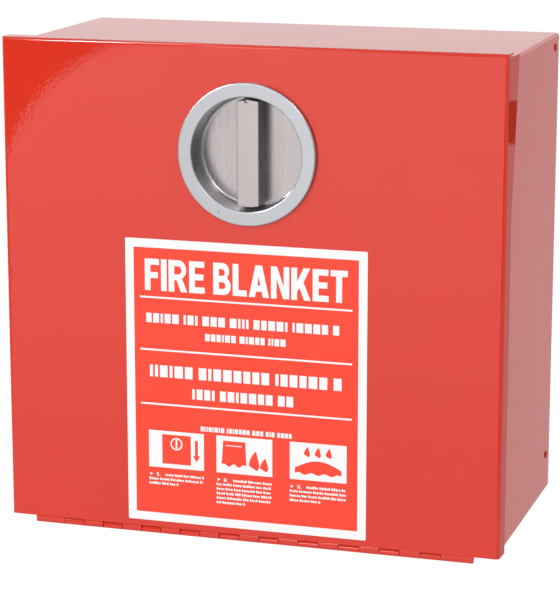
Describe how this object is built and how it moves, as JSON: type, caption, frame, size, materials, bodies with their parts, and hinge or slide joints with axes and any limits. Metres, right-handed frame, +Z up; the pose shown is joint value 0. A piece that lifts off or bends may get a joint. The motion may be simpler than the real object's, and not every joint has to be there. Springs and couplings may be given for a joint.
{
  "type": "fire blanket cabinet",
  "caption": "Red sheet-steel wall cabinet with a drop-down door on a piano hinge, a recessed turn latch and a folded fire blanket with silver grip pockets.",
  "frame": {"origin": "centre of the height and width of the wall face, on the back panel's rear face", "axes": "+Z up, +Y into the wall, +X to the right as seen by someone who faces the door"},
  "size_m": [0.31, 0.1587, 0.3027],
  "materials": {
    "case_paint": "glossy red powder coat with fine orange peel",
    "door_paint": "glossy red powder coat with fine orange peel",
    "label_print": "printed film, satin",
    "latch_zinc": "satin cast zinc",
    "plated_steel": "zinc plated",
    "blanket_cloth": "woven, matte",
    "silver_cloth": "aluminised cloth, satin"
  },
  "bodies": {
    "cabinet": {"cabinet_case": "case_paint", "back_panel": "case_paint", "rivet_left_upper": "case_paint", "rivet_left_lower": "case_paint", "rivet_right_upper": "case_paint", "rivet_right_lower": "case_paint", "hinge_leaf_case": "case_paint", "hinge_pin": "plated_steel", "blanket_folded": "blanket_cloth", "grip_pocket_left": "silver_cloth", "grip_pocket_right": "silver_cloth"},
    "door": {"door_panel": "door_paint", "hinge_leaf_door": "door_paint", "label": "label_print", "latch_dish": "latch_zinc", "latch_lock_ring": "plated_steel"},
    "latch": {"grip_bar": "latch_zinc", "spindle": "plated_steel", "stop_washer": "plated_steel", "tongue": "plated_steel", "spring_washer": "plated_steel", "tongue_nut": "plated_steel"}
  },
  "joints": [
    {"name": "door_swing", "type": "hinge", "parent": "cabinet", "child": "door", "pos_m": [0, -0.1533, -0.1515], "axis": [1, 0, 0], "range_deg": [0, 180]},
    {"name": "latch_turn", "type": "hinge", "parent": "door", "child": "latch", "pos_m": [0, -0.1557, 0.085], "axis": [0, 1, 0], "range_deg": [0, 90]}
  ]
}
